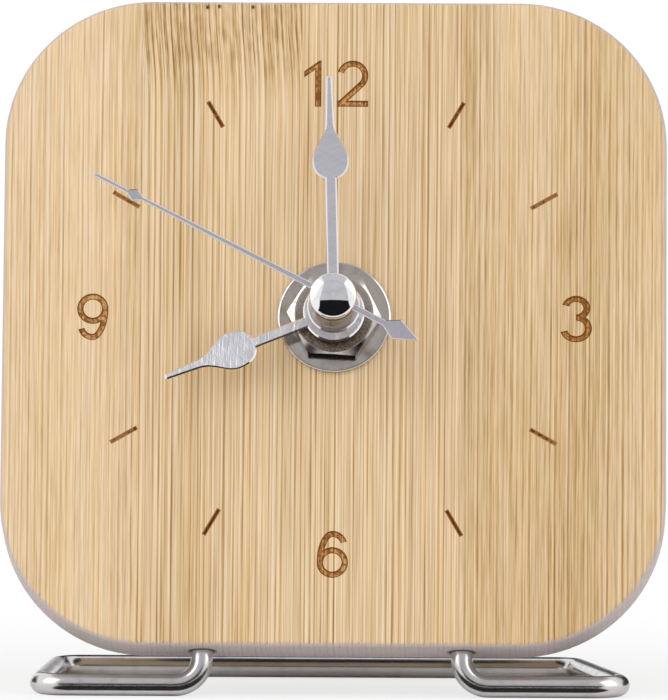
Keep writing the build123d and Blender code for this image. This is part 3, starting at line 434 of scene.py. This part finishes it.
def burnt_colour(finish, side, height, tone, floor):
    """Scorched digits by the two axes of the dial, and darker ticks between them."""
    char = finish.noise(finish.combined(side, height, 9.0), 1.7, 2.0, 0.6)
    digit = finish.mixed(floor, opaque(BURNT_RIM), finish.ramp(tone, BURNT_FLOOR))
    digit = finish.mixed(char.eased(0.42, 0.60) * 0.85, digit, opaque(BURNT_RIM))
    tick = finish.mixed(floor, opaque(TICK_RIM), finish.ramp(tone, TICK_FLOOR))
    level = (abs(side) - abs(height)).eased(-2, 2)
    lightly = 1 - (char + STEEP_DARKER - level * LEVEL_PALER).eased(0.36, 0.48)
    tick = finish.mixed(lightly * 0.7, tick, opaque(TICK_PALE))
    off_axis = [abs(c).eased(DIGIT_REACH - 1, DIGIT_REACH + 1) for c in (side, height)]
    by_an_axis = (1 - off_axis[0]).larger(1 - off_axis[1])
    return finish.mixed(by_an_axis, tick, digit)


print("marks between", MARK_NEAR, "and", MARK_FAR, "mm from the hub")

# %% [markdown]
# The sawn edges and the rounded rim are greyer than the oiled face, partly in the wood's own
# colour and partly as painted shade, which is strongest on the lower edge. The back is darkened
# with painted shade, and so is the wood round the holes where the wire's legs are pushed in.

# %% Bamboo with a burnt dial
LEG_SIDE = 19.5
LEG_DEPTH = 4.5
HOLE_SHADE_REACH = (1.8, 2.5)
HOLE_SHADE_TOP = (-48.5, -47.5)
EDGE_GREY_AND_SHADE = (0.48, 0.455, 0.52)
BACK_SHADE = (0.40, 0.34, 0.285)
HOLE_SHADE_COLOUR = (0.10, 0.07, 0.05)


def greyed_and_shaded(finish, wood, side, height):
    """The wood, greyer on its edges and rim, with painted shade on the lower edge and the back.
    """
    squarely = facing(finish, face_out)
    outer = finish.length(side, height).eased(MARK_FAR + 1, MARK_FAR + 2)
    edge = outer * (1 - abs(squarely).eased(0.25, 0.85))
    rim = outer * squarely.eased(0.2, 0.5) * (1 - squarely.eased(0.75, 0.97))
    # Painted shade: edges that face down get more of the grey.
    below = facing(finish, -up_board).eased(-0.3, 0.5)
    share = (edge * (0.3 + below * 0.4)).larger(rim * 0.6)
    wood = finish.mixed(share, wood, opaque(EDGE_GREY_AND_SHADE))
    # Painted shade: the back is darkened towards a duller grey-brown.
    back = 1 - squarely.eased(-0.9, -0.5)
    return finish.mixed(back * 0.5, wood, opaque(BACK_SHADE))


def make_bamboo():
    material, finish = start_finish("bamboo")
    side, height, out = dial_place(finish)
    depth = -1 * out
    wood, tone, fine = face_wood(finish, side, height, depth)
    wood = greyed_and_shaded(finish, wood, side, height)
    cut, floor = burnt_share(finish, side, height, depth)
    wood = finish.mixed(cut, wood, burnt_colour(finish, side, height, tone, floor))
    # Painted shade round the holes where the wire's legs go into the board.
    from_leg = finish.length(abs(side) - LEG_SIDE, depth - LEG_DEPTH)
    hole_shade = (1 - from_leg.eased(*HOLE_SHADE_REACH)) * (1 - height.eased(*HOLE_SHADE_TOP))
    wood = finish.mixed(hole_shade, wood, opaque(HOLE_SHADE_COLOUR))
    finish.shown(finish.node("BsdfPrincipled", {}, {
        "Base Color": wood,
        "Roughness": 0.5 + (fine - 0.5) * 0.25 + cut * 0.2,
        "Specular IOR Level": 0.15,
        "Normal": finish.bump(fine, 0.25, 0.05),
    }))
    return material


dress(make_bamboo(), "dial_board")

# %% [markdown]
# ## Brushed hands
#
# The hands are stamped from thin aluminium, brushed in two crossing directions, with a bright
# bevel round the front. Brushing could be an anisotropic shader, but that has no place in
# most exported models. Fine grooves in a bump do the same: they spread each reflection along
# the hand, and the hour hand has the deepest. The three hands are one aluminium, yet each gets
# its own base colour, palest on the hour hand and darkest on the second hand: painted light
# for how brightly each mirrors the room.

# %% Crossing grooves on each hand
BRUSH_LEAN = 0.45
BRUSH_SCALE = 6.0
BRUSH_STRETCH = 0.05
BEVEL_ROUGHNESS = 0.12
# The angle clockwise from upright, the colour, whose lightness is painted light,
# and the depth of the grooves.
HANDS = {
    "hour_hand": (248.0, (0.91, 0.905, 0.93), 0.2),
    "minute_hand": (358.4, (0.785, 0.775, 0.81), 0.05),
    "second_hand": (297.5, (0.66, 0.64, 0.68), 0.04),
}


def make_brushed_hand(name, clockwise, colour, groove):
    material, finish = start_finish("brushed_" + name)
    side, height, out = dial_place(finish)
    turn = math.radians(clockwise)
    along = side * math.sin(turn) + height * math.cos(turn)
    sideways = side * math.cos(turn) - height * math.sin(turn)
    crossed = [
        stretched(finish, along + sideways * lean, sideways, lean, BRUSH_STRETCH, BRUSH_SCALE)
        for lean in (-BRUSH_LEAN, BRUSH_LEAN)
    ]
    grooves = (crossed[0] + crossed[1]) * 0.5
    cloudy = finish.noise(finish.combined(along * 0.5, sideways, out), 0.6)
    flat = facing(finish, face_out).eased(0.90, 0.97)
    dark = tuple(0.9 * part for part in colour)
    darker = grooves.eased(0.35, 0.65) * flat
    finish.shown(finish.node("BsdfPrincipled", {}, {
        # Painted light: each hand's lightness stands for how brightly it mirrors the room.
        "Base Color": finish.mixed(darker, opaque(colour), opaque(dark)),
        "Metallic": 1.0,
        "Roughness": BEVEL_ROUGHNESS + flat * (0.18 + cloudy * 0.12),
        "Normal": finish.bump(grooves * flat, 0.7, groove),
    }))
    return material


for hand, (clockwise, colour, groove) in HANDS.items():
    dress(make_brushed_hand(hand, clockwise, colour, groove), hand)

# %% [markdown]
# ## Turned and plated metal
#
# The cap, the nuts and the washer are turned on a lathe and plated. A lathe leaves rings
# round the axis, so a noise of the distance from the axis makes them. Each piece gets its
# own depth of groove: almost none on the mirror cap, plain to see on the washer. The nut's
# front is rougher, pitted and brown, most of all in its lower half.

# %% Chrome, nickel and brass with lathe rings
CHROME = (0.87, 0.87, 0.885)
NICKEL = (0.70, 0.675, 0.635)
WASHER_NICKEL = (0.55, 0.505, 0.46)
WASHER_RADIUS = 8.5
RIM_ROUND = 0.3
NUT_BROWN = (0.19, 0.125, 0.065)
NUT_FACE = 5.9
BRASS = (0.72, 0.53, 0.25)


def make_turned(name, colour, roughness, rings, groove, rim=0.0, face=0.0):
    """Turned metal, rounded towards a rim, or pitted and brown inside a face of that radius."""
    material, finish = start_finish(name)
    side, height, out = dial_place(finish)
    radius = finish.length(side, height)
    lathe = finish.noise(finish.combined(radius, out, 0.0), rings, 2.0, 0.6)
    smudge = finish.noise(finish.combined(side, height, out), 0.7, 3.0)
    dull = tuple(0.76 * part for part in colour)
    share = smudge.eased(0.4, 0.75) * 0.6 + lathe.eased(0.45, 0.7) * 0.4
    metal = finish.mixed(share, opaque(colour), opaque(dull))
    rough = roughness + (smudge - 0.4) * roughness + (lathe - 0.5) * roughness * 0.5
    relief = lathe * groove * 0.02
    if rim:
        relief = relief - radius.eased(rim - RIM_ROUND, rim + RIM_ROUND) * RIM_ROUND
    if face:
        front = facing(finish, face_out).eased(0.95, 0.99)
        pitted = (1 - radius.eased(face - 0.2, face)) * front
        pits = finish.noise(finish.combined(side, height, out), 3.5, 3.0, 0.7)
        browner = 1 - height.eased(-4, 2) * 0.6
        share = pitted * pits.eased(0.2, 0.65) * browner
        metal = finish.mixed(share, metal, opaque(NUT_BROWN))
        rough = rough + pitted * 0.25
        relief = relief + pitted * pits * 0.05
    finish.shown(finish.node("BsdfPrincipled", {}, {
        "Base Color": metal,
        "Metallic": 1.0,
        "Roughness": rough,
        "Normal": finish.bump(relief, 1.0, 1.0),
    }))
    return material


dress(make_turned("chrome_cap", CHROME, 0.035, 3.0, 0.01), "center_cap")
dress(make_turned("smooth_nickel", NICKEL, 0.26, 4.0, 0.1), "minute_hand_nut")
washer = make_turned("washer_nickel", WASHER_NICKEL, 0.13, 3.0, 0.5, rim=WASHER_RADIUS)
dress(washer, "front_washer")
dress(make_turned("nut_nickel", WASHER_NICKEL, 0.12, 5.0, 0.15, face=NUT_FACE), "hex_nut")
BRASS_PIECES = ["threaded_bushing", "second_hand_tube", "minute_pipe"]
dress(make_turned("turned_brass", BRASS, 0.24, 6.0, 0.2), *BRASS_PIECES)

# %% [markdown]
# ## Drawn steel wire
#
# Wire is pulled through a die, which leaves fine lines along it. The bars run across the
# table, the sides run back and the legs go up, so the stretch of the noise changes with the
# place on the wire. Fixed directions in three zones are simpler than following the bend.

# %% The stand's steel
WIRE_STEEL = (0.70, 0.68, 0.675)
WIRE_DULL = (0.57, 0.55, 0.545)
LINE_STRETCH = 0.02
LINE_SCALE = 7.0
WIRE = 3.3
wire_low, wire_high = (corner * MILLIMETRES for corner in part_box("wire_stand"))


def make_drawn_wire():
    material, finish = start_finish("drawn_steel")
    place = finish.node("TexCoord", {}, {}, "Object")
    x, y, z = finish.split(finish.vector("MULTIPLY", place, (MILLIMETRES,) * 3))
    bars = finish.noise(finish.combined(x * LINE_STRETCH, y, z), LINE_SCALE)
    sides = finish.noise(finish.combined(x, y * LINE_STRETCH, z), LINE_SCALE)
    legs = finish.noise(finish.combined(x, y, z * LINE_STRETCH), LINE_SCALE)
    going_back = y.eased(wire_low.y + WIRE, wire_low.y + 2 * WIRE)
    going_back = going_back * (1 - y.eased(wire_high.y - 2 * WIRE, wire_high.y - WIRE))
    going_up = z.eased(WIRE, 2 * WIRE)
    lines = bars + going_back * (sides - bars)
    lines = lines + going_up * (legs - lines)
    wear = finish.noise(finish.combined(x, y, z), 0.35, 3.0)
    finish.shown(finish.node("BsdfPrincipled", {}, {
        "Base Color": finish.mixed(wear.eased(0.45, 0.8), opaque(WIRE_STEEL), opaque(WIRE_DULL)),
        "Metallic": 1.0,
        "Roughness": 0.17 + wear * 0.08 + (lines - 0.5) * 0.06,
        "Normal": finish.bump(lines, 0.035, 0.02),
    }))
    return material


dress(make_drawn_wire(), "wire_stand")

# %% [markdown]
# ## The movement's plastics
#
# The case and its lid are moulded in black plastic with a fine spark-eroded grain, and the
# gasket is matt rubber. The wheels are pale acetal, which is smooth and a little waxy. One
# function makes them all, because they differ only in colour, gloss and grain.

# %% Moulded pieces
def make_moulded(name, colour, roughness, grain, groove):
    material, finish = start_finish(name)
    place = finish.node("TexCoord", {}, {}, "Object")
    spot = finish.vector("MULTIPLY", place, (MILLIMETRES,) * 3)
    pebbles = finish.noise(spot, grain, 3.0, 0.6)
    flow = finish.noise(spot, 0.16, 2.0)
    pale = tuple(min(1.0, 1.22 * part + 0.006) for part in colour)
    share = flow.eased(0.35, 0.7) * 0.6 + pebbles.eased(0.5, 0.8) * 0.4
    finish.shown(finish.node("BsdfPrincipled", {}, {
        "Base Color": finish.mixed(share, opaque(colour), opaque(pale)),
        "Roughness": roughness + (pebbles - 0.5) * 0.25 + (flow - 0.5) * 0.15,
        "Specular IOR Level": 0.4,
        "Normal": finish.bump(pebbles, groove, 0.04),
    }))
    return material


BLACK_PLASTIC = (0.020, 0.020, 0.022)
KNOB_PLASTIC = (0.028, 0.028, 0.030)
RUBBER = (0.026, 0.025, 0.024)
ACETAL = (0.78, 0.76, 0.70)
BOBBIN = (0.72, 0.68, 0.56)
EPOXY = (0.012, 0.012, 0.013)

SHELLS = ["movement_case", "back_cover", "middle_plate"]
dress(make_moulded("case_plastic", BLACK_PLASTIC, 0.46, 3.2, 0.35), *SHELLS)
dress(make_moulded("knob_plastic", KNOB_PLASTIC, 0.36, 5.0, 0.2), "setting_knob")
dress(make_moulded("gasket_rubber", RUBBER, 0.8, 2.4, 0.4), "rubber_gasket")
WHEELS = ["hour", "motion", "center", "third", "second", "fifth"]
ACETAL_PIECES = [name + "_wheel" for name in WHEELS] + ["rotor_pinion", "setting_stem"]
dress(make_moulded("wheel_acetal", ACETAL, 0.34, 1.2, 0.05), *ACETAL_PIECES)
dress(make_moulded("bobbin_plastic", BOBBIN, 0.4, 1.6, 0.08), "coil_bobbin")
dress(make_moulded("chip_epoxy", EPOXY, 0.22, 0.8, 0.12), "driver_chip")

# %% [markdown]
# ## The movement's metals
#
# Springs, arbors, the stator and the crystal's can are plain steel, and the magnet is dark
# sintered metal. None is polished, so a cloudy grain in colour and roughness is enough.

# %% Steel, magnet and cell can
def make_rolled(name, colour, roughness, grain, shade=0.7):
    material, finish = start_finish(name)
    place = finish.node("TexCoord", {}, {}, "Object")
    spot = finish.vector("MULTIPLY", place, (MILLIMETRES,) * 3)
    x, y, z = finish.split(spot)
    rolled = finish.noise(finish.combined(x * 0.08, y, z), grain, 2.0)
    cloudy = finish.noise(spot, 0.5, 3.0)
    dark = tuple(shade * part for part in colour)
    finish.shown(finish.node("BsdfPrincipled", {}, {
        "Base Color": finish.mixed(cloudy.eased(0.4, 0.7), opaque(colour), opaque(dark)),
        "Metallic": 1.0,
        "Roughness": roughness + (cloudy - 0.5) * 0.16 + (rolled - 0.5) * 0.1,
        "Normal": finish.bump(rolled, 0.15, 0.03),
    }))
    return material


SPRING_STEEL = (0.62, 0.61, 0.59)
MAGNET = (0.13, 0.13, 0.14)
PLATED_CAN = (0.74, 0.73, 0.71)

STEEL_PIECES = ["clutch_washer", "second_arbor", "stator", "coil_core", "quartz_crystal"]
CONTACTS = ["negative_contact", "positive_contact"]
dress(make_rolled("spring_steel", SPRING_STEEL, 0.28, 4.0), *STEEL_PIECES, *CONTACTS)
dress(make_rolled("sintered_magnet", MAGNET, 0.45, 6.0), "rotor_magnet")
dress(make_rolled("plated_can", PLATED_CAN, 0.2, 5.0, shade=0.9), "cell_can")

# %% [markdown]
# ## Coil, circuit board and cell
#
# The coil is thousands of turns of enamelled copper, which show as fine rings along its
# length: painted shade darkens the grooves between the turns, and the colour also varies
# at random. The circuit board is green lacquer over copper tracks. The cell wears a plain
# printed film with a paler band at its positive end.

# %% Copper turns
COPPER = (0.62, 0.27, 0.11)
COPPER_GROOVE_SHADE = (0.33, 0.12, 0.045)
TURN_PITCH = 0.16


def make_copper():
    material, finish = start_finish("copper_turns")
    side, height, out = dial_place(finish)
    turns = (side * (2 * math.pi / TURN_PITCH)).wave()
    cloudy = finish.noise(finish.combined(side, height, out), 0.9, 2.0)
    # Painted shade in the grooves between the turns, with a random tone on top.
    bright = (turns * 0.5 + cloudy).eased(0.2, 1.0)
    finish.shown(finish.node("BsdfPrincipled", {}, {
        "Base Color": finish.mixed(bright, opaque(COPPER_GROOVE_SHADE), opaque(COPPER)),
        "Metallic": 0.9,
        "Roughness": 0.26 + cloudy * 0.14,
        "Normal": finish.bump(turns, 0.4, 0.04),
    }))
    return material


dress(make_copper(), "coil_winding")

# %% Circuit board
LACQUER = (0.022, 0.15, 0.055)
OVER_TRACK = (0.05, 0.25, 0.10)


def make_circuit():
    material, finish = start_finish("green_lacquer")
    side, height, out = dial_place(finish)
    cells = finish.node("TexVoronoi", {"feature": "DISTANCE_TO_EDGE", "distance": "EUCLIDEAN"}, {
        "Vector": finish.combined(side, height, 0.0), "Scale": 0.45, "Randomness": 0.6,
    })
    track = 1 - cells.eased(0.10, 0.16)
    weave = (side * 9.0).wave() * (height * 9.0).wave()
    finish.shown(finish.node("BsdfPrincipled", {}, {
        "Base Color": finish.mixed(track, opaque(LACQUER), opaque(OVER_TRACK)),
        "Roughness": 0.3 + weave * 0.06,
        "Normal": finish.bump(track + weave * 0.1, 0.3, 0.03),
    }))
    return material


dress(make_circuit(), "circuit_board")

# %% Cell film
FILM_BLUE = (0.035, 0.105, 0.27)
FILM_PALE = (0.52, 0.55, 0.58)
SCUFF_GREY = (0.3, 0.3, 0.3)
BAND_START = 15.0


def make_film():
    material, finish = start_finish("printed_film")
    side, height, out = dial_place(finish)
    band = side.eased(BAND_START, BAND_START + 0.2)
    wrinkles = finish.noise(finish.combined(side * 0.4, height, out), 0.5, 3.0)
    scuffs = finish.noise(finish.combined(side, height, out), 2.5, 3.0).eased(0.55, 0.8)
    film = finish.mixed(band, opaque(FILM_BLUE), opaque(FILM_PALE))
    worn = finish.mixed(0.5, film, opaque(SCUFF_GREY))
    finish.shown(finish.node("BsdfPrincipled", {}, {
        "Base Color": finish.mixed(scuffs * 0.4, film, worn),
        "Roughness": 0.22 + scuffs * 0.2,
        "Metallic": band * 0.6,
        "Normal": finish.bump(wrinkles, 0.12, 0.1),
    }))
    return material


dress(make_film(), "cell_sleeve")

# %% [markdown]
# ## Floor and studio
#
# The clock stands in a white studio. Near the clock the floor is partly pale paint, so that it
# takes the soft shadow, and further off it turns into plain white. Metal mirrors the paint
# near the clock and the white beyond. The world lights everything evenly. For rays that end
# in the picture, straight or by way of a mirror, it is exactly white.

# %% White floor with a soft shadow
PAPER = (0.90, 0.90, 0.90)
PAPER_SPECKS = (0.93, 0.93, 0.93)
WHITE = opaque((1, 1, 1))
SHADOW_REACH = 0.05
WHITE_FROM = 0.16
NEAR_WHITE = 0.7
FLOOR_SIDE = 8


def picture_rays(finish):
    """1 for rays straight from the camera, then 1 for mirrored rays and rays through glass."""
    path = finish.node("LightPath", {}, {}, "Is Camera Ray")
    return path, path.output("Is Glossy Ray").larger(path.output("Is Transmission Ray"))


def make_floor():
    material, finish = start_finish("studio_floor")
    place = finish.node("TexCoord", {}, {}, "Object")
    distance = finish.vector("LENGTH", place)
    speckle = finish.noise(place, 900.0, 2.0)
    paper = finish.mixed(speckle, opaque(PAPER), opaque(PAPER_SPECKS))
    paint = finish.node("BsdfPrincipled", {}, {
        "Base Color": paper, "Roughness": 0.9, "Specular IOR Level": 0.0,
    })
    white = finish.node("Emission", {}, {"Color": WHITE, "Strength": 1.0})
    straight, mirrored = picture_rays(finish)
    far = distance.eased(SHADOW_REACH, WHITE_FROM)
    seen = straight * (NEAR_WHITE + far * (1 - NEAR_WHITE))
    share = seen.larger(mirrored * far)
    finish.shown(finish.node("MixShader", {}, {0: share, 1: paint, 2: white}))
    return material


bpy.ops.mesh.primitive_plane_add(size=FLOOR_SIDE)
floor = bpy.context.object
floor.name = "floor"
floor.data.materials.append(make_floor())

# %% Even light from the world
FILL_LEVEL = 0.74
world = bpy.data.worlds.new("studio")
bpy.context.scene.world = world
world.use_nodes = True
surround = Finish(world.node_tree)
straight, mirrored = picture_rays(surround)
strength = FILL_LEVEL + straight.larger(mirrored) * (1 - FILL_LEVEL)
backdrop = surround.node("Background", {}, {"Color": WHITE, "Strength": strength})
surround.shown(backdrop, "World")
bpy.context.scene.view_settings.view_transform = "Standard"
print("fill level", FILL_LEVEL)

# %% [markdown]
# ## Two soft lamps
#
# Wide lamps at both sides give the form a little shade without hard shadows. They stand
# well to the side, so the flat metal doesn't mirror them, but the bevels and the round
# wire do.

# %% Softboxes left and right
# Name, azimuth, elevation and power of each lamp.
LAMPS = [("lamp_left", -62, 34, 7.5), ("lamp_right", 66, 34, 6.0)]
LAMP_DISTANCE = 1.6
LAMP_WIDTH = 1.0
LAMP_HEIGHT = 1.3


def point_at(azimuth, elevation, distance):
    """A place around the clock: azimuth 0 is in front, and to the right is positive."""
    turn = math.radians(azimuth)
    rise = math.radians(elevation)
    flat = distance * math.cos(rise)
    height = distance * math.sin(rise)
    return hub + Vector((math.sin(turn) * flat, -math.cos(turn) * flat, height))


for name, azimuth, elevation, power in LAMPS:
    lamp = bpy.data.objects.new(name, bpy.data.lights.new(name, "AREA"))
    lamp.data.shape = "RECTANGLE"
    lamp.data.size = LAMP_WIDTH
    lamp.data.size_y = LAMP_HEIGHT
    lamp.data.energy = power
    lamp.location = point_at(azimuth, elevation, LAMP_DISTANCE)
    lamp.rotation_mode = "QUATERNION"
    lamp.rotation_quaternion = (hub - lamp.location).to_track_quat("-Z", "Y")
    bpy.context.scene.collection.objects.link(lamp)
    print(name, [round(c, 2) for c in lamp.location], power, "W")

# %% [markdown]
# ## Cards for the metal
#
# Polished metal in an all-white room looks like plaster. Photographers put grey and black
# cards where the metal mirrors them. Here a grey card stands behind the camera and goes on
# overhead, and black ones stand below it, lie close in front of the wire and stand far
# behind. Only mirror rays see them, so they neither shade the wood nor show in the picture.

# %% Grey and black cards
CARD_GREY = (0.60, 0.595, 0.625)
CARD_BLACK = (0.012, 0.011, 0.012)
CARD_DARK = (0.03, 0.027, 0.027)
CARD_SIDES = (-1.25, 1.5)
CARD_BACK = -2.2
CARD_RISE = 0.72
CARD_TOP = 3.4
CARD_FLOOR = 0.0003
FAR_BEHIND = 1.5
LOW_CARD = (0, 1.2)


def add_card(name, corners, colour):
    mesh = bpy.data.meshes.new(name)
    mesh.from_pydata(corners, [], [tuple(range(len(corners)))])
    material, finish = start_finish(name)
    finish.shown(finish.node("Emission", {}, {"Color": opaque(colour), "Strength": 1.0}))
    mesh.materials.append(material)
    card = bpy.data.objects.new(name, mesh)
    card.visible_camera = False
    card.visible_diffuse = False
    card.visible_transmission = False
    card.visible_shadow = False
    bpy.context.scene.collection.objects.link(card)
    print(name, "of", len(corners), "corners")


def add_upright_card(name, depth, sides, heights, colour):
    left, right = sides
    bottom, top = heights
    ends = [(left, bottom), (right, bottom), (right, top), (left, top)]
    add_card(name, [(x, depth, z) for x, z in ends], colour)


def add_level_card(name, height, near, near_half, far, far_sides, colour):
    left, right = far_sides
    ends = [(-near_half, near), (near_half, near), (right, far), (left, far)]
    add_card(name, [(x, y, height) for x, y in ends], colour)


by_wire = wire_low.y / MILLIMETRES - 0.0002
add_level_card("card_by_wire", CARD_FLOOR, by_wire, 0.043, -0.05, (-0.05, 0.05), CARD_DARK)
add_level_card("card_on_floor", CARD_FLOOR, -0.235, 0.14, CARD_BACK, CARD_SIDES, CARD_BLACK)
add_upright_card("card_below_lens", CARD_BACK, CARD_SIDES, (0, CARD_RISE), CARD_BLACK)
add_upright_card("card_above_lens", CARD_BACK, CARD_SIDES, (CARD_RISE, CARD_TOP), CARD_GREY)
add_level_card("card_overhead", CARD_TOP, 0.6, CARD_SIDES[1], CARD_BACK, CARD_SIDES, CARD_GREY)
add_upright_card("card_behind", FAR_BEHIND, (-0.3, 0.3), (0.2, 3.0), CARD_DARK)
add_upright_card("card_behind_left", FAR_BEHIND, (-4.0, -1.1), LOW_CARD, CARD_DARK)
add_upright_card("card_behind_right", FAR_BEHIND, (0.35, 4.0), LOW_CARD, CARD_DARK)
